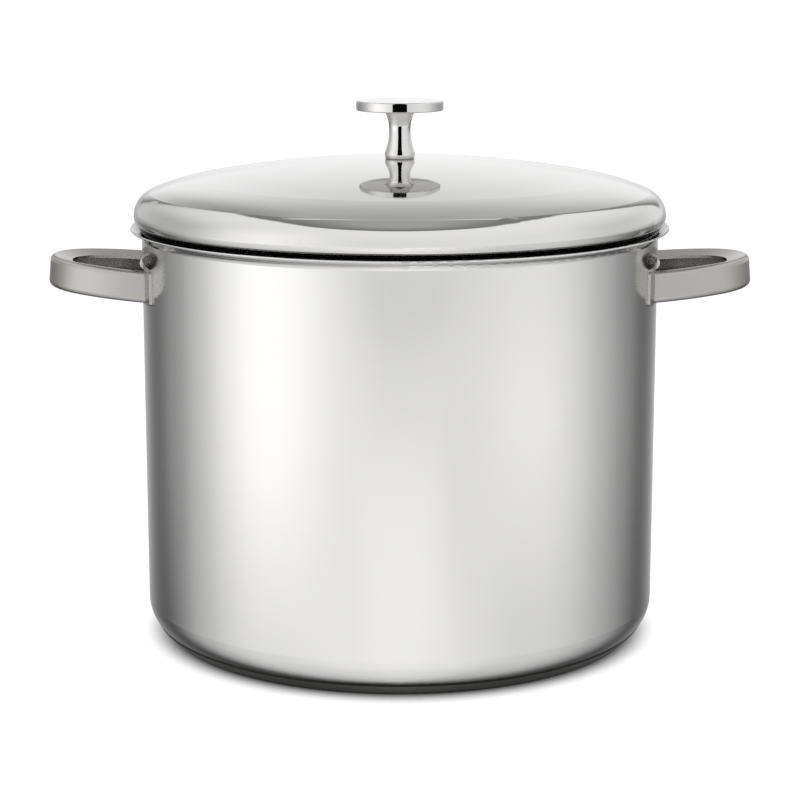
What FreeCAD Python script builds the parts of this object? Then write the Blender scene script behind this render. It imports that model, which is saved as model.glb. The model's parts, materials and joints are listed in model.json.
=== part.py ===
import FreeCAD, Part
import math
import os

import Sketcher

# A stainless water bath canner: a stockpot with a clad base and two loop handles,
# a domed lid with a spool knob, and a welded wire rack for seven quart jars inside.
# Millimetres. Origin at the centre of the base's underside, +Z up, handles along X.

SHEET_NAME = "Dimensions"

DIMENSIONS = {
    # pot shell
    "pot_radius": 153.5,
    "pot_wall": 1.0,
    "corner_radius": 21.0,
    "corner_angle": 42.5,
    "toe_radius": 4.7,
    "shell_bottom": 6.4,
    "flare_start": 240.5,
    "flare_radius": 3.5,
    "flare_angle": 65.0,
    "lip_radius": 160.0,
    # clad base
    "cap_sheet": 0.6,
    "cap_corner": 3.0,
    "cap_flank_angle": 45.0,
    "core_chamfer": 5.0,
    # loop handles and the plates under them
    "plate_sheet": 1.5,
    "plate_width": 112.0,
    "plate_height": 20.0,
    "plate_corner": 3.0,
    "plate_center": 215.5,
    "loop_root": 147.0,
    "loop_half_width": 46.0,
    "loop_reach": 62.7,
    "loop_side_radius": 85.0,
    "loop_height": 18.5,
    "loop_sheet": 1.8,
    "loop_flange": 13.0,
    "loop_slope": 16.0,
    "loop_edge": 3.2,
    "loop_center": 214.9,
    "loop_tilt": 5.0,
    # lid
    "lid_sheet": 0.8,
    "lid_radius": 158.0,
    "lid_widest": 253.64,
    "nose_radius": 14.69,
    "nose_angle": 22.06,
    "shoulder_radius": 128.9,
    "shoulder_angle": 10.43,
    "under_radius": 8.2,
    "under_angle": 57.0,
    "seat_radius": 153.1,
    "seat_level": 243.1,
    "skirt_radius": 151.9,
    "skirt_top": 241.6,
    "skirt_bottom": 236.5,
    "lid_hole": 3.3,
    # knob
    "knob_radius": 25.9,
    "knob_top": 320.1,
    "knob_thickness": 5.8,
    "knob_edge": 0.8,
    "stem_radius": 8.5,
    "stem_neck": 6.4,
    "stem_top_radius": 9.5,
    "stem_bulge_height": 5.0,
    "stem_bulge_radius": 8.3,
    "stem_neck_low": 16.5,
    "stem_neck_high": 17.6,
    "stem_waist_radius": 32.5,
    "stem_flare_radius": 20.5,
    "screw_radius": 3.0,
    "screw_length": 22.0,
    "screw_head_radius": 5.5,
    "screw_head_height": 3.2,
    "screw_slot_width": 1.4,
    "screw_slot_depth": 1.2,
    "screw_clearance": 0.05,
    "washer_radius": 8.0,
    "washer_thickness": 1.0,
    # jar rack
    "foot_level": 8.7,
    "rack_wire": 3.5,
    "base_ring_wire": 4.0,
    "base_ring_radius": 141.5,
    "base_ring_level": 17.0,
    "hub_ring_radius": 19.0,
    "post_radius": 145.2,
    "top_ring_radius": 148.7,
    "center_ring_wire": 3.0,
    "center_ring_radius": 49.8,
    "inner_post_radius": 53.05,
    "upper_ring_level": 84.0,
    "weld_depth": 0.05,
    # rack handles
    "hinge_offset": 138.0,
    "hinge_level": 21.2,
    "eye_radius": 3.7,
    "eye_length": 6.0,
    "eye_position": 45.0,
    "pin_clearance": 0.08,
    "handle_half_width": 38.0,
    "handle_length": 190.8,
    "handle_pin_end": 50.0,
    "handle_foot_bend": 4.0,
    "handle_corner": 24.0,
    "handle_lean": 1.6,
}

DIVIDERS = 6
SPOKES = 12
FIRST_DIVIDER_ANGLE = 30.0
FULL_TURN = 360.0
ORIGIN = FreeCAD.Vector(0, 0, 0)
Y_AXIS = FreeCAD.Vector(0, 1, 0)
Z_AXIS = FreeCAD.Vector(0, 0, 1)
SIDES = {"right": 0.0, "left": 180.0}

document = FreeCAD.newDocument("WaterBathCanner")
exported = []


# ---------------------------------------------------------------- sizes

class Size:
    """A number together with the spreadsheet formula that gives it."""

    def __init__(self, value, formula):
        self.value = value
        self.formula = formula

    def __add__(self, other):
        other = as_size(other)
        return Size(self.value + other.value, f"({self.formula} + {other.formula})")

    def __sub__(self, other):
        other = as_size(other)
        return Size(self.value - other.value, f"({self.formula} - {other.formula})")

    def __mul__(self, other):
        other = as_size(other)
        return Size(self.value * other.value, f"({self.formula} * {other.formula})")

    def __truediv__(self, other):
        other = as_size(other)
        return Size(self.value / other.value, f"({self.formula} / {other.formula})")

    def __neg__(self):
        return Size(-self.value, f"(0 - {self.formula})")


def as_size(number):
    if isinstance(number, Size):
        return number
    return Size(float(number), repr(float(number)))


def sine(angle):
    return Size(math.sin(math.radians(angle.value)), f"sin({angle.formula})")


def cosine(angle):
    return Size(math.cos(math.radians(angle.value)), f"cos({angle.formula})")


def make_sheet():
    sheet = document.addObject("Spreadsheet::Sheet", SHEET_NAME)
    for row, (alias, value) in enumerate(DIMENSIONS.items(), start=1):
        sheet.set(f"A{row}", alias)
        sheet.set(f"B{row}", str(value))
        sheet.setAlias(f"B{row}", alias)
    document.recompute()
    return sheet


sheet = make_sheet()


def size(alias):
    return Size(float(sheet.get(alias)), f"{SHEET_NAME}.{alias}")


# ---------------------------------------------------------------- building blocks

def polar(center, radius, angle):
    """The point at an angle, in degrees above the first axis, round a centre."""
    return (center[0] + radius * cosine(angle), center[1] + radius * sine(angle))


def new_body(label):
    body = document.addObject("PartDesign::Body", label)
    body.Label = label
    return body


def origin_plane(body, role):
    return next(plane for plane in body.Origin.OriginFeatures if plane.Role == role)


def new_sketch(body, name, role, offset=None):
    sketch = body.newObject("Sketcher::SketchObject", name)
    sketch.AttachmentSupport = [(origin_plane(body, role), "")]
    sketch.MapMode = "FlatFace"
    if offset is not None:
        sketch.AttachmentOffset = FreeCAD.Placement(
            FreeCAD.Vector(0, 0, offset.value), FreeCAD.Rotation())
        sketch.setExpression("AttachmentOffset.Base.z", offset.formula)
    return sketch


def constrain(sketch, kind, name, number, *places):
    index = sketch.addConstraint(Sketcher.Constraint(kind, *places, number.value))
    sketch.renameConstraint(index, name)
    sketch.setExpression(f"Constraints.{name}", number.formula)


def arc_between(start, end, radius):
    """The short arc from start to end; it turns left where the radius is positive."""
    chord = end - start
    half = chord.Length / 2
    rise = math.sqrt(max(radius * radius - half * half, 0.0))
    left = FreeCAD.Vector(-chord.y, chord.x, 0).normalize()
    side = math.copysign(1.0, radius)
    center = (start + end) / 2 + left * (rise * side)
    first, last = (start, end) if side > 0 else (end, start)
    angles = [math.atan2(p.y - center.y, p.x - center.x) for p in (first, last)]
    if angles[1] < angles[0]:
        angles[1] += 2 * math.pi
    return Part.ArcOfCircle(Part.Circle(center, Z_AXIS, abs(radius)), *angles)


def draw(sketch, points, arcs=None, closed=True):
    """Draw a run of lines, with arcs where a segment's number has a signed radius."""
    arcs = arcs or {}
    vectors = [FreeCAD.Vector(x.value, y.value, 0) for x, y in points]
    count = len(points) if closed else len(points) - 1
    ends = []
    for number in range(count):
        start = vectors[number]
        end = vectors[(number + 1) % len(points)]
        if number in arcs:
            curve = sketch.addGeometry(arc_between(start, end, arcs[number].value))
            reverse = arcs[number].value < 0
        else:
            curve = sketch.addGeometry(Part.LineSegment(start, end))
            reverse = False
        ends.append((curve, 2 if reverse else 1, 1 if reverse else 2))
    for number, (curve, first, last) in enumerate(ends):
        if closed or number < count - 1:
            following = ends[(number + 1) % count]
            sketch.addConstraint(
                Sketcher.Constraint("Coincident", curve, last, following[0], following[1]))
        constrain(sketch, "DistanceX", f"x{number}", points[number][0], curve, first)
        constrain(sketch, "DistanceY", f"y{number}", points[number][1], curve, first)
    if not closed:
        curve, first, last = ends[-1]
        constrain(sketch, "DistanceX", f"x{count}", points[-1][0], curve, last)
        constrain(sketch, "DistanceY", f"y{count}", points[-1][1], curve, last)
    for number, radius in arcs.items():
        plain = radius if radius.value > 0 else -radius
        constrain(sketch, "Radius", f"r{number}", plain, ends[number][0])


def draw_circle(sketch, x, y, radius, name="circle"):
    center = FreeCAD.Vector(x.value, y.value, 0)
    curve = sketch.addGeometry(Part.Circle(center, Z_AXIS, radius.value))
    constrain(sketch, "DistanceX", f"{name}_x", x, curve, 3)
    constrain(sketch, "DistanceY", f"{name}_y", y, curve, 3)
    constrain(sketch, "Radius", f"{name}_r", radius, curve)


def revolve(body, sketch):
    turn = body.newObject("PartDesign::Revolution", f"{body.Label}_turn")
    turn.Profile = sketch
    turn.ReferenceAxis = (sketch, ["V_Axis"])
    turn.Angle = FULL_TURN
    return turn


def revolved_body(label, points, arcs=None):
    body = new_body(label)
    sketch = new_sketch(body, f"{label}_profile", "XZ_Plane")
    draw(sketch, points, arcs)
    revolve(body, sketch)
    return body


def pad(body, sketch, length, midplane=False):
    block = body.newObject("PartDesign::Pad", f"{body.Label}_pad")
    block.Profile = sketch
    block.setExpression("Length", length.formula)
    block.Midplane = midplane
    return block


def pipe(body, profile, spine):
    tube = body.newObject("PartDesign::AdditivePipe", f"{body.Label}_pipe")
    tube.Profile = profile
    tube.Spine = (spine, [])
    return tube


def cylinder(label, radius, length, placement):
    rod = document.addObject("Part::Cylinder", label)
    rod.Label = label
    rod.setExpression("Radius", radius.formula)
    rod.setExpression("Height", length.formula)
    rod.Placement = placement
    return rod


def ring(label, radius, wire, level):
    torus = document.addObject("Part::Torus", label)
    torus.Label = label
    torus.setExpression("Radius1", radius.formula)
    torus.setExpression("Radius2", (wire / 2).formula)
    torus.setExpression("Placement.Base.z", level.formula)
    return torus


def keep(*parts):
    exported.extend(parts)


def turned(angle, base=ORIGIN):
    return FreeCAD.Placement(base, FreeCAD.Rotation(Z_AXIS, angle))


# ---------------------------------------------------------------- pot

zero = as_size(0)
pot_radius = size("pot_radius")
pot_wall = size("pot_wall")
shell_bottom = size("shell_bottom")
corner_radius = size("corner_radius")
corner_angle = size("corner_angle")
toe_radius = size("toe_radius")
toe_center = (
    pot_radius - corner_radius + (corner_radius - toe_radius) * cosine(corner_angle),
    shell_bottom + toe_radius,
)
corner_center = (
    pot_radius - corner_radius,
    toe_center[1] + (corner_radius - toe_radius) * sine(corner_angle),
)


def make_pot_body():
    flare_start = size("flare_start")
    flare_radius = size("flare_radius")
    flare_end = as_size(180) - size("flare_angle")
    lip_slope = as_size(90) - size("flare_angle")
    flare_center = (pot_radius + flare_radius, flare_start)
    outer_bend = polar(flare_center, flare_radius, flare_end)
    inner_bend = polar(flare_center, flare_radius + pot_wall, flare_end)
    lip_run = (size("lip_radius") - outer_bend[0]) / cosine(lip_slope)
    outer_lip = polar(outer_bend, lip_run, lip_slope)
    inner_lip = polar(inner_bend, lip_run, lip_slope)
    inner_radius = pot_radius - pot_wall
    points = [
        (zero, shell_bottom),
        (toe_center[0], shell_bottom),
        polar(toe_center, toe_radius, -corner_angle),
        (pot_radius, corner_center[1]),
        (pot_radius, flare_start),
        outer_bend,
        outer_lip,
        inner_lip,
        inner_bend,
        (inner_radius, flare_start),
        (inner_radius, corner_center[1]),
        polar(toe_center, toe_radius - pot_wall, -corner_angle),
        (toe_center[0], shell_bottom + pot_wall),
        (zero, shell_bottom + pot_wall),
    ]
    arcs = {
        1: toe_radius,
        2: corner_radius,
        4: -flare_radius,
        6: pot_wall * 0.6,
        8: flare_radius + pot_wall,
        10: -(corner_radius - pot_wall),
        11: -(toe_radius - pot_wall),
    }
    return revolved_body("pot_body", points, arcs)


def make_base():
    """The aluminium disc under the pot, and the steel cap that wraps it."""
    sheet_size = size("cap_sheet")
    flank = size("cap_flank_angle")
    corner = size("cap_corner")
    inner_end = polar(toe_center, toe_radius, -flank)
    outer_end = polar(inner_end, sheet_size, -flank)
    tangent = cosine(flank) / sine(flank)
    outer_corner = (
        outer_end[0] - (outer_end[1] - corner * (as_size(1) - cosine(flank))) * tangent,
        corner * (as_size(1) - cosine(flank)),
    )
    outer_flat = (outer_corner[0] - corner * sine(flank), zero)
    inner_corner = polar(outer_corner, sheet_size, as_size(180) - flank)
    cap = revolved_body(
        "base_cap",
        [
            (zero, zero),
            outer_flat,
            outer_corner,
            outer_end,
            inner_end,
            inner_corner,
            (outer_flat[0], sheet_size),
            (zero, sheet_size),
        ],
        {1: corner, 5: -(corner - sheet_size)},
    )
    chamfer = size("core_chamfer")
    core = revolved_body(
        "base_core",
        [
            (zero, sheet_size),
            (toe_center[0] - chamfer, sheet_size),
            (toe_center[0], sheet_size + chamfer),
            (toe_center[0], shell_bottom),
            (zero, shell_bottom),
        ],
    )
    return cap, core


# ---------------------------------------------------------------- loop handles

plate_outer = pot_radius + size("plate_sheet")


def make_handle_plate(side, angle):
    """A curved plate on the pot's wall: a rounded slab cut from a tube."""
    half_width = size("plate_width") / 2
    half_height = size("plate_height") / 2
    corner = size("plate_corner")
    slab = new_body(f"plate_slab_{side}")
    sketch = new_sketch(slab, f"plate_outline_{side}", "YZ_Plane")
    level = size("plate_center")
    low, high = level - half_height, level + half_height
    points = [
        (corner - half_width, low),
        (half_width - corner, low),
        (half_width, low + corner),
        (half_width, high - corner),
        (half_width - corner, high),
        (corner - half_width, high),
        (-half_width, high - corner),
        (-half_width, low + corner),
    ]
    draw(sketch, points, {1: corner, 3: corner, 5: corner, 7: corner})
    pad(slab, sketch, plate_outer + corner)
    placement = FreeCAD.Placement()
    outer = cylinder(f"plate_outside_{side}", plate_outer, size("lid_widest"), placement)
    inner = cylinder(f"plate_inside_{side}", pot_radius, size("lid_widest"), placement)
    tube = document.addObject("Part::Cut", f"plate_tube_{side}")
    tube.Base = outer
    tube.Tool = inner
    plate = document.addObject("Part::Common", f"handle_plate_{side}")
    plate.Base = slab
    plate.Tool = tube
    plate.Label = f"handle_plate_{side}"
    plate.Placement = turned(angle)
    return plate


def make_loop_handle(side, angle):
    """A pressed loop: a C-section with sloping flanges, swept round a three-centred arch."""
    root = size("loop_root")
    half_width = size("loop_half_width")
    reach = size("loop_reach")
    side_radius = size("loop_side_radius")
    side_drop = side_radius - half_width
    # The tip's arc ends the arch at its reach and is tangent to both side arcs.
    gap = (side_radius * side_radius - side_drop * side_drop - reach * reach)
    tip_radius = gap / ((side_radius - reach) * 2)
    tip_center = reach - tip_radius
    share = tip_radius / (side_radius - tip_radius)
    joint = (root + tip_center + tip_center * share, side_drop * share)
    tip = (root + reach, zero)
    body = new_body(f"loop_{side}")
    path = new_sketch(body, f"loop_path_{side}", "XY_Plane")
    draw(
        path,
        [(root, -half_width), (joint[0], -joint[1]), tip, joint, (root, half_width)],
        {0: side_radius, 1: tip_radius, 2: tip_radius, 3: side_radius},
        closed=False,
    )
    half = size("loop_height") / 2
    metal = size("loop_sheet")
    slope = size("loop_slope")
    edge = size("loop_edge")
    inner_edge = edge - metal
    outside = -half_width
    inside = size("loop_flange") - half_width
    section = new_sketch(body, f"loop_section_{side}", "YZ_Plane", root)
    edge_center = (outside + edge, half - edge)
    flange_start = polar(edge_center, edge, as_size(90) - slope)
    run = inside - flange_start[0]
    flange_end = (inside, flange_start[1] - run * sine(slope) / cosine(slope))
    half_section = [
        (outside, half - edge),
        flange_start,
        flange_end,
        polar(flange_end, -metal, as_size(90) - slope),
        polar(edge_center, inner_edge, as_size(90) - slope),
        (outside + metal, half - edge),
    ]
    points = half_section + [(y, -z) for y, z in reversed(half_section)]
    last = len(points) - 1
    arcs = {0: -edge, 4: inner_edge}
    mirrored = {last - 1 - number: radius for number, radius in arcs.items()}
    draw(section, points, {**arcs, **mirrored})
    pipe(body, section, path)
    pivot = FreeCAD.Vector(root.value, 0, 0)
    lift = FreeCAD.Vector(0, 0, size("loop_center").value)
    tilt = FreeCAD.Rotation(Y_AXIS, -size("loop_tilt").value)
    body.Placement = FreeCAD.Placement(lift, tilt, pivot)
    seat = cylinder(f"loop_seat_{side}", plate_outer, size("lid_widest"), FreeCAD.Placement())
    handle = document.addObject("Part::Cut", f"pot_handle_{side}")
    handle.Base = body
    handle.Tool = seat
    handle.Label = f"pot_handle_{side}"
    handle.Placement = turned(angle)
    return handle


# ---------------------------------------------------------------- lid and knob

lid_sheet = size("lid_sheet")
nose_radius = size("nose_radius")
nose_normal = as_size(90) - size("nose_angle")
shoulder_radius = size("shoulder_radius")
shoulder_normal = as_size(90) - size("shoulder_angle")
nose_center = (size("lid_radius") - nose_radius, size("lid_widest"))
nose_end = polar(nose_center, nose_radius, nose_normal)
shoulder_center = polar(nose_end, -shoulder_radius, nose_normal)
shoulder_end = polar(shoulder_center, shoulder_radius, shoulder_normal)
dome_radius = shoulder_end[0] / cosine(shoulder_normal)
dome_center = shoulder_end[1] - dome_radius * sine(shoulder_normal)
dome_top = dome_center + dome_radius


def dome_level(radius, distance):
    """The height of a dome of the given radius at a distance from the axis."""
    height = math.sqrt(radius.value ** 2 - distance.value ** 2)
    formula = f"sqrt({radius.formula} ^ 2 - {distance.formula} ^ 2)"
    return dome_center + Size(height, formula)


def make_lid():
    hole = size("lid_hole")
    under_radius = size("under_radius")
    under_center = (size("lid_radius") - under_radius, size("lid_widest"))
    under_angle = -size("under_angle")
    widest = size("lid_widest")
    inner_dome = dome_radius - lid_sheet
    points = [
        (hole, dome_level(inner_dome, hole)),
        polar(shoulder_center, shoulder_radius - lid_sheet, shoulder_normal),
        polar(nose_center, nose_radius - lid_sheet, nose_normal),
        (size("lid_radius") - lid_sheet, widest),
        polar(under_center, under_radius - lid_sheet, under_angle),
        (size("seat_radius") - lid_sheet, size("seat_level") + lid_sheet / 4),
        (size("skirt_radius") - lid_sheet, size("skirt_top") + lid_sheet / 4),
        (size("skirt_radius") - lid_sheet, size("skirt_bottom")),
        (size("skirt_radius"), size("skirt_bottom")),
        (size("skirt_radius"), size("skirt_top")),
        (size("seat_radius"), size("seat_level")),
        polar(under_center, under_radius, under_angle),
        (size("lid_radius"), widest),
        nose_end,
        shoulder_end,
        (hole, dome_level(dome_radius, hole)),
    ]
    arcs = {
        0: -inner_dome,
        1: -(shoulder_radius - lid_sheet),
        2: -(nose_radius - lid_sheet),
        3: -(under_radius - lid_sheet),
        11: under_radius,
        12: nose_radius,
        13: shoulder_radius,
        14: dome_radius,
    }
    return revolved_body("lid_shell", points, arcs)


def make_knob():
    top = size("knob_top")
    bottom = top - size("knob_thickness")
    radius = size("knob_radius")
    edge = size("knob_edge")
    disc = revolved_body(
        "knob_disc",
        [
            (zero, bottom),
            (radius - edge, bottom),
            (radius, bottom + edge),
            (radius, top - edge),
            (radius - edge, top),
            (zero, top),
        ],
        {1: edge, 3: edge},
    )
    stem_radius = size("stem_radius")
    neck = size("stem_neck")
    screw_bore = size("screw_radius") + size("screw_clearance")
    bore_top = dome_top + size("screw_length")
    stem = revolved_body(
        "knob_stem",
        [
            (screw_bore, dome_top),
            (stem_radius, dome_top),
            (stem_radius, dome_top + size("stem_bulge_height")),
            (neck, dome_top + size("stem_neck_low")),
            (neck, dome_top + size("stem_neck_high")),
            (size("stem_top_radius"), bottom),
            (zero, bottom),
            (zero, bore_top),
            (screw_bore, bore_top),
        ],
        {
            1: size("stem_bulge_radius"),
            2: -size("stem_waist_radius"),
            4: -size("stem_flare_radius"),
        },
    )
    return disc, stem


def make_knob_fixings():
    """The washer under the dome, and the slotted screw that holds the knob."""
    bore = size("screw_radius") + size("screw_clearance")
    washer_top = dome_level(dome_radius - lid_sheet, size("washer_radius"))
    washer_bottom = washer_top - size("washer_thickness")
    washer = revolved_body(
        "knob_washer",
        [
            (bore, washer_bottom),
            (size("washer_radius"), washer_bottom),
            (size("washer_radius"), washer_top),
            (bore, washer_top),
        ],
    )
    head_radius = size("screw_head_radius")
    head_bottom = washer_bottom - size("screw_head_height")
    shank = size("screw_radius")
    shank_top = dome_top + size("screw_length") - 1
    dish = head_radius / 4
    screw = revolved_body(
        "knob_screw",
        [
            (zero, head_bottom),
            (head_radius - dish, head_bottom),
            (head_radius, head_bottom + dish),
            (head_radius, washer_bottom),
            (shank, washer_bottom),
            (shank, shank_top),
            (zero, shank_top),
        ],
        {1: dish},
    )
    slot = new_sketch(screw, "screw_slot", "XY_Plane", head_bottom)
    half_width = size("screw_slot_width") / 2
    reach = head_radius + 1
    draw(
        slot,
        [
            (-reach, -half_width),
            (reach, -half_width),
            (reach, half_width),
            (-reach, half_width),
        ],
    )
    document.recompute()
    solid = screw.Shape.Volume
    cut = screw.newObject("PartDesign::Pocket", "screw_slot_cut")
    cut.Profile = slot
    cut.setExpression("Length", size("screw_slot_depth").formula)
    cut.Reversed = True
    document.recompute()
    if screw.Shape.Volume >= solid:
        raise RuntimeError("the screw's slot cuts nothing")
    return washer, screw


# ---------------------------------------------------------------- jar rack

rack_wire = size("rack_wire")
ring_wire = size("base_ring_wire")
weld = size("weld_depth")
ring_level = size("base_ring_level")
spoke_level = ring_level + ring_wire / 2 + rack_wire / 2 - weld
spoke_top = spoke_level + rack_wire / 2
upper_level = size("upper_ring_level")
bar_level = upper_level + rack_wire - weld
bar_bottom = bar_level - rack_wire / 2


def radial_placement(angle, radius, level):
    """Along +X from a radius, then turned about the pot's axis."""
    start = FreeCAD.Vector(radius.value, 0, level.value)
    lying = FreeCAD.Placement(start, FreeCAD.Rotation(Y_AXIS, 90))
    return turned(angle).multiply(lying)


def upright_placement(angle, radius, level):
    start = FreeCAD.Vector(radius.value, 0, level.value)
    return turned(angle).multiply(FreeCAD.Placement(start, FreeCAD.Rotation()))


def make_rack_rings():
    return (
        ring("rack_base_ring", size("base_ring_radius"), ring_wire, ring_level),
        ring("rack_hub_ring", size("hub_ring_radius"), ring_wire, ring_level),
        ring("rack_center_ring", size("center_ring_radius"),
             size("center_ring_wire"), upper_level),
        ring("rack_top_ring", size("top_ring_radius"), rack_wire, upper_level),
    )


def make_spokes():
    """Floor wires, welded on top of the hub ring and the base ring."""
    start = size("hub_ring_radius") - ring_wire / 4
    length = size("base_ring_radius") + ring_wire / 4 - start
    return [
        cylinder(f"rack_spoke_{number + 1}", rack_wire / 2, length,
                 radial_placement(number * FULL_TURN / SPOKES, start, spoke_level))
        for number in range(SPOKES)
    ]


def make_dividers():
    """Between each two outer jars: a foot post, an inner post and the bar they carry."""
    foot = size("foot_level")
    bar_start = size("center_ring_radius") - size("center_ring_wire") / 2
    bar_length = size("top_ring_radius") + rack_wire / 4 - bar_start
    post_length = bar_bottom + weld - foot
    inner_length = bar_bottom + weld - (spoke_top - weld)
    wires = []
    for number in range(DIVIDERS):
        angle = FIRST_DIVIDER_ANGLE + number * FULL_TURN / DIVIDERS
        wires.append(cylinder(
            f"rack_post_{number + 1}", rack_wire / 2, post_length,
            upright_placement(angle, size("post_radius"), foot)))
        wires.append(cylinder(
            f"rack_inner_post_{number + 1}", rack_wire / 2, inner_length,
            upright_placement(angle, size("inner_post_radius"), spoke_top - weld)))
        wires.append(cylinder(
            f"jar_divider_{number + 1}", rack_wire / 2, bar_length,
            radial_placement(angle, bar_start, bar_level)))
    return wires


def make_hinge_eye(side, turn, end, sign):
    """A short tube on the base ring, in which one end of a rack handle turns."""
    label = f"hinge_eye_{side}_{end}"
    body = new_body(label)
    sketch = new_sketch(body, f"{label}_section", "XZ_Plane")
    bore = rack_wire / 2 + size("pin_clearance")
    draw_circle(sketch, zero, zero, size("eye_radius"), "outside")
    draw_circle(sketch, zero, zero, bore, "bore")
    pad(body, sketch, size("eye_length"), midplane=True)
    place = FreeCAD.Vector(
        size("hinge_offset").value, sign * size("eye_position").value,
        size("hinge_level").value)
    body.Placement = turned(turn).multiply(FreeCAD.Placement(place, FreeCAD.Rotation()))
    return body


def make_rack_handle(side, turn):
    """A bail of one bent wire, whose two ends turn in the hinge eyes."""
    label = f"rack_handle_{side}"
    body = new_body(label)
    half_width = size("handle_half_width")
    pin_end = size("handle_pin_end")
    bend = size("handle_foot_bend")
    corner = size("handle_corner")
    length = size("handle_length")
    half = [
        (pin_end, zero),
        (half_width + bend, zero),
        (half_width, bend),
        (half_width, length - corner),
        (half_width - corner, length),
    ]
    path = new_sketch(body, f"{label}_path", "YZ_Plane")
    points = half + [(-y, z) for y, z in reversed(half)]
    arcs = {1: -bend, 3: corner, 5: corner, 7: -bend}
    draw(path, points, arcs, closed=False)
    section = new_sketch(body, f"{label}_section", "XZ_Plane", -pin_end)
    draw_circle(section, zero, zero, rack_wire / 2)
    pipe(body, section, path)
    hinge = FreeCAD.Vector(size("hinge_offset").value, 0, size("hinge_level").value)
    lean = FreeCAD.Rotation(Y_AXIS, size("handle_lean").value)
    body.Placement = turned(turn).multiply(FreeCAD.Placement(hinge, lean))
    return body


# ---------------------------------------------------------------- assembly

def check_document():
    for item in document.Objects:
        if "Invalid" in item.State or "Error" in item.State:
            raise RuntimeError(f"{item.Label} failed: {item.State}")
    for item in exported:
        shape = item.Shape
        if shape.isNull() or not shape.isValid() or not shape.Solids:
            raise RuntimeError(f"{item.Label} has no valid solid")


keep(make_pot_body())
keep(*make_base())
for side_name, side_turn in SIDES.items():
    keep(make_handle_plate(side_name, side_turn))
    keep(make_loop_handle(side_name, side_turn))
keep(make_lid())
keep(*make_knob())
keep(*make_knob_fixings())
keep(*make_rack_rings())
keep(*make_spokes())
keep(*make_dividers())
for side_name, side_turn in SIDES.items():
    keep(make_hinge_eye(side_name, side_turn, "front", -1))
    keep(make_hinge_eye(side_name, side_turn, "back", 1))
    keep(make_rack_handle(side_name, side_turn))

document.recompute()
check_document()

os.makedirs("parts", exist_ok=True)
for part in exported:
    part.Shape.exportStep(f"parts/{part.Label}.step")
    box = part.Shape.BoundBox
    print(f"{part.Label:22s} volume {part.Shape.Volume:10.1f}  solids {len(part.Shape.Solids)}"
          f"  x {box.XMin:7.2f} {box.XMax:7.2f}  y {box.YMin:7.2f} {box.YMax:7.2f}"
          f"  z {box.ZMin:7.2f} {box.ZMax:7.2f}")
print(len(exported), "sub-parts")
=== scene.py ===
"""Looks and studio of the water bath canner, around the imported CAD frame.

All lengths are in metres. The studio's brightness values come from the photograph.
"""

import json
import math

import bpy
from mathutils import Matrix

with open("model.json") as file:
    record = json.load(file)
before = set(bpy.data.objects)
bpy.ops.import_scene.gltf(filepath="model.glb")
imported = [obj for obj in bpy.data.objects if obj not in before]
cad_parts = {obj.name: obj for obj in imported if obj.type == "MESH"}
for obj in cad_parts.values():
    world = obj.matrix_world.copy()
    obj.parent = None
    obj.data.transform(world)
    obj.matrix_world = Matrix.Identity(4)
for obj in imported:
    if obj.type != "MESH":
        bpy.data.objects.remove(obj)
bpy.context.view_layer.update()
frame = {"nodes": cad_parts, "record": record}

RAMP_TOP = 2.0  # a colour ramp holds 0 to 1, so its heights are stored as shares of this


# ---------------------------------------------------------------- node helpers
class Nodes:
    """A node tree that is filled one node at a time."""

    def __init__(self, tree):
        self.tree = tree
        tree.nodes.clear()

    def add(self, kind, *values, **settings):
        """Adds a node. values go to its inputs in order; None leaves one alone and a dict names them."""
        node = self.tree.nodes.new("ShaderNode" + kind)
        for name, value in settings.items():
            setattr(node, name, value)
        for index, value in enumerate(values):
            if isinstance(value, dict):
                for key, one in value.items():
                    self.feed(node.inputs[key], one)
            elif value is not None:
                self.feed(node.inputs[index], value)
        return node

    def feed(self, socket, value):
        if isinstance(value, bpy.types.NodeSocket):
            self.tree.links.new(value, socket)
        else:
            socket.default_value = value

    def math(self, operation, *values, clamp=False):
        return self.add("Math", *values, operation=operation, use_clamp=clamp).outputs[0]

    def span(self, value, low, high, to_low=0.0, to_high=1.0):
        """A smooth step: to_low where value is at low, to_high where it is at high."""
        node = self.add("MapRange", value, low, high, to_low, to_high, interpolation_type="SMOOTHSTEP")
        return node.outputs[0]

    def mix(self, share, first, second):
        """first where share is 0 and second where it is 1."""
        node = self.add("Mix", data_type="FLOAT")
        for socket, value in zip((node.inputs[0], node.inputs[2], node.inputs[3]), (share, first, second)):
            self.feed(socket, value)
        return node.outputs[0]

    def tint(self, share, first, second):
        node = self.add("Mix", data_type="RGBA")
        for socket, value in zip((node.inputs[0], node.inputs[6], node.inputs[7]), (share, first, second)):
            self.feed(socket, value)
        return node.outputs[2]

    def split(self, vector):
        return self.add("SeparateXYZ", vector).outputs

    def join(self, x, y, z):
        return self.add("CombineXYZ", x, y, z).outputs[0]

    def noise(self, vector, scale, detail=2.0, roughness=0.5):
        named = {"Vector": vector, "Scale": scale, "Detail": detail, "Roughness": roughness}
        return self.add("TexNoise", named).outputs[0]

    def curve(self, value, stops, low, high):
        """A smooth curve through stops, which are (position, height), over positions from low to high."""
        node = self.add("ValToRGB", self.add("MapRange", value, low, high, 0.0, 1.0).outputs[0])
        ramp = node.color_ramp
        ramp.interpolation = "CARDINAL"
        while len(ramp.elements) < len(stops):
            ramp.elements.new(0.5)
        for element, (position, height) in zip(ramp.elements, stops):
            element.position = (position - low) / (high - low)
            share = height / RAMP_TOP
            element.color = (share, share, share, 1.0)
        return self.math("MULTIPLY", self.add("SeparateColor", node.outputs[0]).outputs[0], RAMP_TOP)


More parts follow.
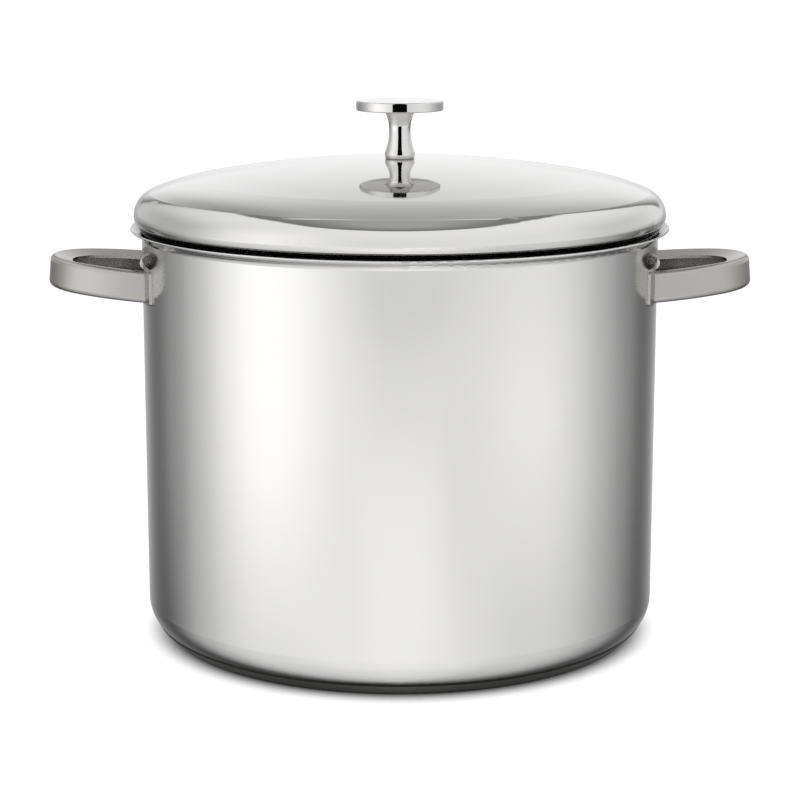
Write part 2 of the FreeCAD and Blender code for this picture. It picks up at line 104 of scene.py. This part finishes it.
# ---------------------------------------------------------------- studio light
# Brightness of the tent round the object by azimuth in degrees: 0 is towards the camera, 90 to the right.
# These stops were estimated from the brightness of the steel in the photograph, not chosen as lamps.
LOW_WALL = [
    (-180, 0.72), (-168, 0.55), (-158, 0.42), (-141, 0.20), (-125, 0.33), (-108, 0.58), (-90, 1.00),
    (-74, 1.41), (-56, 1.54), (-36, 1.32), (-12, 1.08), (12, 1.06), (36, 1.14), (58, 1.23), (76, 1.14),
    (92, 0.86), (108, 0.57), (125, 0.32), (141, 0.20), (158, 0.42), (168, 0.60), (180, 0.72),
]
FLOOR_WALL = [
    (-180, 0.50), (-160, 0.35), (-141, 0.15), (-123, 0.17), (-106, 0.50), (-90, 0.76), (-74, 0.96),
    (-47, 1.06), (-20, 1.20), (0, 1.27), (20, 1.20), (47, 0.96), (74, 0.86), (95, 0.64), (114, 0.38),
    (127, 0.18), (141, 0.15), (160, 0.35), (180, 0.50),
]
HIGH_WALL = [
    (-180, 1.04), (-172, 0.84), (-164, 0.52), (-152, 0.70), (-135, 0.64), (-118, 0.62), (-98, 0.76),
    (-78, 1.15), (-58, 1.34), (-38, 1.20), (-15, 1.06), (15, 1.06), (58, 1.07), (80, 1.00), (100, 0.84),
    (122, 0.84), (150, 0.94), (164, 0.66), (172, 0.86), (180, 1.04),
]
TOP_GLOW = 1.14  # the tent straight above the lit walls
SLOT_EDGE_GLOW = 0.27  # the dark rim of the ceiling's slot, in front
SLOT_BACK_EDGE_GLOW = 0.28
SLOT_MIDDLE_GLOW = 0.50
STRIP_GLOW = 0.86  # the thin light strip across the slot
STRIP_PLACE = 0.62  # how far behind the zenith the strip lies, per metre of height
WHITE = (1.0, 1.0, 1.0, 1.0)
PAPER_GLOW = 1.1  # floor and backdrop as the camera sees them


def studio_glow():
    """A node group: the brightness that comes from a direction."""
    group = bpy.data.node_groups.new("studio_glow", "ShaderNodeTree")
    group.interface.new_socket("Direction", in_out="INPUT", socket_type="NodeSocketVector")
    group.interface.new_socket("Brightness", in_out="OUTPUT", socket_type="NodeSocketFloat")
    n = Nodes(group)
    source = n.tree.nodes.new("NodeGroupInput")
    x, y, z = n.split(n.add("VectorMath", source.outputs[0], operation="NORMALIZE").outputs[0])
    azimuth = n.math("MULTIPLY", n.math("ARCTAN2", x, n.math("MULTIPLY", y, -1.0)), 180 / math.pi)
    shaded = n.math("MULTIPLY", n.span(azimuth, -40.0, -10.0), n.span(z, -0.20, -0.14))
    low_wall = n.math("MULTIPLY", n.curve(azimuth, LOW_WALL, -180, 180), n.mix(shaded, 1.0, 0.88))
    fall = n.span(z, -1.0, -0.35, 0.80, 1.0)
    floor_wall = n.math("MULTIPLY", n.curve(azimuth, FLOOR_WALL, -180, 180), fall)
    low = n.mix(n.span(z, -0.34, -0.20, 1.0, 0.0), low_wall, floor_wall)
    high = n.mix(n.span(z, 0.25, 0.85), n.curve(azimuth, HIGH_WALL, -180, 180), TOP_GLOW)
    walls = n.mix(n.span(z, -0.14, 0.02), low, high)
    # the ceiling is a dark slot between the lit walls, rounded in front, that widens towards the back
    rise = n.math("MAXIMUM", z, 0.05)
    across = n.math("DIVIDE", n.math("ABSOLUTE", x), rise)
    ahead = n.math("DIVIDE", n.math("MULTIPLY", y, -1.0), rise)
    behind = n.math("MULTIPLY", ahead, n.span(x, -0.05, 0.05, -0.88, -1.10))
    sideways = n.math("DIVIDE", n.math("MULTIPLY", across, 1.1), n.math("MAXIMUM", behind, 1.0))
    front = n.math("MAXIMUM", ahead, 0.0)
    reach = n.add("VectorMath", n.join(sideways, front, 0.0), operation="LENGTH").outputs["Value"]
    slot = n.math("MULTIPLY", n.span(reach, 0.47, 0.54, 1.0, 0.0), n.span(z, 0.04, 0.14))
    back = n.mix(n.span(reach, 0.20, 0.48), n.span(z, 0.20, 0.82, 1.04, 0.52), SLOT_BACK_EDGE_GLOW)
    middle = n.span(reach, 0.08, 0.47, SLOT_MIDDLE_GLOW, SLOT_EDGE_GLOW)
    off_strip = n.math("ABSOLUTE", n.math("ADD", ahead, STRIP_PLACE))
    strip = n.math("MULTIPLY", n.span(off_strip, 0.03, 0.07, 1.0, 0.0), n.span(across, 0.28, 0.36, 1.0, 0.0))
    ceiling = n.mix(strip, n.mix(n.span(ahead, -1.1, -0.5), back, middle), STRIP_GLOW)
    target = n.tree.nodes.new("NodeGroupOutput")
    n.feed(target.inputs[0], n.mix(slot, walls, ceiling))
    return group


GLOW = studio_glow()


def glow(nodes, direction):
    node = nodes.add("Group")
    node.node_tree = GLOW
    nodes.feed(node.inputs[0], direction)
    return node.outputs[0]


def make_world():
    """The tent lights and is mirrored by everything; only the camera's own view of it is plain white."""
    world = bpy.data.worlds.new("studio")
    bpy.context.scene.world = world
    world.use_nodes = True
    n = Nodes(world.node_tree)
    seen = glow(n, n.add("TexCoord").outputs["Generated"])
    direct = n.add("LightPath").outputs["Is Camera Ray"]
    background = n.add("Background", WHITE, n.mix(direct, seen, PAPER_GLOW))
    n.add("OutputWorld", background.outputs[0])


def make_floor():
    """A plain pale floor with a painted contact shadow: it darkens only where the object stands close over
    it.

    Away from there it is transparent to all but the camera, so the tent below it lights the object.
    """
    half = 40.0
    mesh = bpy.data.meshes.new("floor")
    corners = [(-half, -half, 0), (half, -half, 0), (half, half, 0), (-half, half, 0)]
    mesh.from_pydata(corners, [], [(0, 1, 2, 3)])
    floor = bpy.data.objects.new("floor", mesh)
    bpy.context.scene.collection.objects.link(floor)
    floor.location.z = -0.0002
    material = bpy.data.materials.new("pale_floor")
    material.use_nodes = True
    n = Nodes(material.node_tree)
    # painted shadow: ambient occlusion turns the floor dark near the object; no lamp casts it
    open_sky = n.add("AmbientOcclusion", {"Distance": 0.025}, samples=12).outputs["AO"]
    shade = n.span(open_sky, 0.05, 0.72, 1.0, 0.0)
    direct = n.add("LightPath").outputs["Is Camera Ray"]
    pale = n.add("Emission", WHITE, PAPER_GLOW)
    through = n.add("BsdfTransparent")
    bare = n.add("MixShader", direct, through.outputs[0], pale.outputs[0])
    dark = n.add("Emission", WHITE, 0.04)
    both = n.add("MixShader", shade, bare.outputs[0], dark.outputs[0])
    n.add("OutputMaterial", both.outputs[0])
    mesh.materials.append(material)


# ---------------------------------------------------------------- materials
GRAIN_PITCH = 0.0006
# painted shade: in nooks found by ambient occlusion only this share of the steel's tone is left
PAINTED_NOOK_SHADE = 0.07  # how much of its tone is left in a nook


def steel(name, tone, roughness, smudge=0.03, grain=0.02, wave=0.00002, turned=True, aniso=0.0,
          nook=0.008, nook_floor=-1.0, groove_shade_height=None):
    """Polished steel: fine turning or brushing lines, faint hand smudges and a slight waviness.

    Its colour carries painted shade: it darkens in nooks narrower than nook that lie above nook_floor, and,
    if a groove height is given, above it, as painted shadow in the groove there.
    """
    material = bpy.data.materials.new(name)
    material.use_nodes = True
    n = Nodes(material.node_tree)
    place = n.add("TexCoord").outputs["Object"]
    x, y, z = n.split(place)
    around = n.add("VectorMath", n.join(x, y, 0.0), operation="LENGTH").outputs["Value"]
    along = n.math("SUBTRACT", z, around) if turned else z
    pitches = n.math("DIVIDE", along, GRAIN_PITCH)
    lines_place = n.join(n.math("MULTIPLY", x, 12.0), n.math("MULTIPLY", y, 12.0), pitches)
    lines = n.noise(lines_place, 1.0, 3.0, 0.6)
    marks = n.noise(place, 22.0, 4.0, 0.55)
    clouds = n.noise(place, 7.0, 2.0, 0.5)
    smudged = n.mix(marks, roughness - smudge, roughness + smudge)
    rough = n.math("ADD", smudged, n.mix(lines, -grain, grain))
    dull = n.tint(n.span(clouds, 0.35, 0.75), (*tone, 1.0), (*[c * 0.97 for c in tone], 1.0))
    lined = n.tint(n.span(lines, 0.62, 0.85), dull, (*[c * 0.94 for c in tone], 1.0))
    # painted shade: ambient occlusion darkens the colour in nooks, gaps and under overhangs, standing in for
    # the shade that falls there
    open_sky = n.add("AmbientOcclusion", {"Distance": nook}, samples=12).outputs["AO"]
    high_enough = n.span(z, nook_floor, nook_floor + 0.02)
    dark = n.math("MULTIPLY", n.span(open_sky, 0.05, 0.75, 1.0, 0.0), high_enough)
    # painted shadow: above the given height the colour turns dark, standing in for the shade in the groove
    # at the cap's top edge
    if groove_shade_height is not None:
        dark = n.math("MAXIMUM", dark, n.span(z, groove_shade_height - 0.0004, groove_shade_height + 0.0002))
    colour = n.tint(dark, lined, (*[c * PAINTED_NOOK_SHADE for c in tone], 1.0))
    swell = n.add("Bump", {"Strength": 1.0, "Distance": wave, "Height": clouds})
    scratch = n.add("Bump", {
        "Strength": 0.25, "Distance": GRAIN_PITCH * 0.01, "Height": lines, "Normal": swell.outputs[0],
    })
    shader = n.add("BsdfPrincipled", {
        "Base Color": colour, "Metallic": 1.0, "Roughness": rough, "Anisotropic": aniso,
        "Normal": scratch.outputs[0],
    })
    if aniso:
        n.feed(shader.inputs["Tangent"], n.add("Tangent", direction_type="RADIAL", axis="Z").outputs[0])
    n.add("OutputMaterial", shader.outputs[0])
    return material


def dress(material, *nodes):
    for name in nodes:
        slots = frame["nodes"][name].data.materials
        slots.clear()
        slots.append(material)


PALE = (0.665, 0.660, 0.655)
WARM = (0.640, 0.622, 0.590)
DEEP = (0.405, 0.395, 0.376)

# nook sets how far each steel's painted shade reaches: under the rim on the body, under the lid's nose, at
# the knob's foot, inside the handles' channels
body_steel = steel("satin_body_steel", PALE, 0.12, aniso=0.3, nook=0.030, nook_floor=0.19)
lid_steel = steel("mirror_lid_steel", PALE, 0.05, smudge=0.015, grain=0.01, wave=0.00001, nook=0.012)
knob_steel = steel("mirror_knob_steel", PALE, 0.05, smudge=0.015, grain=0.01, nook=0.004)
handle_steel = steel("satin_handle_steel", DEEP, 0.24, turned=False, nook=0.022)
# the base cap's colour above 6.8 mm is a painted dark line for the shadow in the groove where it meets the
# body
base_steel = steel("base_cap_steel", DEEP, 0.22, nook=0.003, groove_shade_height=0.0068)
core_metal = steel("core_aluminium", (0.80, 0.80, 0.81), 0.35)
fixing_steel = steel("fixing_steel", PALE, 0.2)
wire_steel = steel("rack_wire_steel", PALE, 0.14, turned=False, nook=0.002)

SLOT_LOOKS = {
    "pot_steel": body_steel, "base_steel": base_steel, "core_aluminium": core_metal,
    "handle_steel": handle_steel, "lid_steel": lid_steel, "knob_steel": knob_steel,
    "fixing_steel": fixing_steel, "rack_wire": wire_steel,
}


for part in frame["record"]["subparts"]:
    dress(SLOT_LOOKS[part["material_slot"]], part["node"])


# ---------------------------------------------------------------- the knob's dark card
def make_card():
    """A card in front that glows like the tent, but is dark to the knob, which mirrors it as black."""
    half_width, low, high, ahead = 0.43, -3.0, 4.0, -1.25
    mesh = bpy.data.meshes.new("front_card")
    left, right = -half_width, half_width
    corners = [(left, ahead, low), (right, ahead, low), (right, ahead, high), (left, ahead, high)]
    mesh.from_pydata(corners, [], [(0, 1, 2, 3)])
    card = bpy.data.objects.new("front_card", mesh)
    bpy.context.scene.collection.objects.link(card)
    card.visible_camera = False
    card.visible_diffuse = False
    card.visible_shadow = False
    material = bpy.data.materials.new("front_card")
    material.use_nodes = True
    n = Nodes(material.node_tree)
    spot = n.add("NewGeometry").outputs["Position"]
    aim = n.add("VectorMath", spot, (0.0, -0.15, 0.20), operation="SUBTRACT").outputs[0]
    lamp = n.add("Emission", WHITE, glow(n, aim))
    n.add("OutputMaterial", lamp.outputs[0])
    material.cycles.emission_sampling = "NONE"
    mesh.materials.append(material)
    others = bpy.data.collections.new("not_lit_by_front_card")
    for name in ("knob_disc", "knob_stem"):
        others.objects.link(frame["nodes"][name])
    card.light_linking.receiver_collection = others
    for one in others.collection_objects:
        one.light_linking.link_state = "EXCLUDE"


def make_camera():
    data = bpy.data.cameras.new("camera")
    data.lens = 102.74
    data.sensor_width = 36.0
    data.clip_end = 200.0
    camera = bpy.data.objects.new("camera", data)
    camera.location = (0.0001, -1.3581, 0.4163)
    camera.rotation_euler = (math.radians(78.47), 0.0, 0.0)
    bpy.context.scene.collection.objects.link(camera)
    bpy.context.scene.camera = camera


make_world()
make_floor()
make_card()
make_camera()
bpy.context.scene.view_settings.view_transform = "Standard"
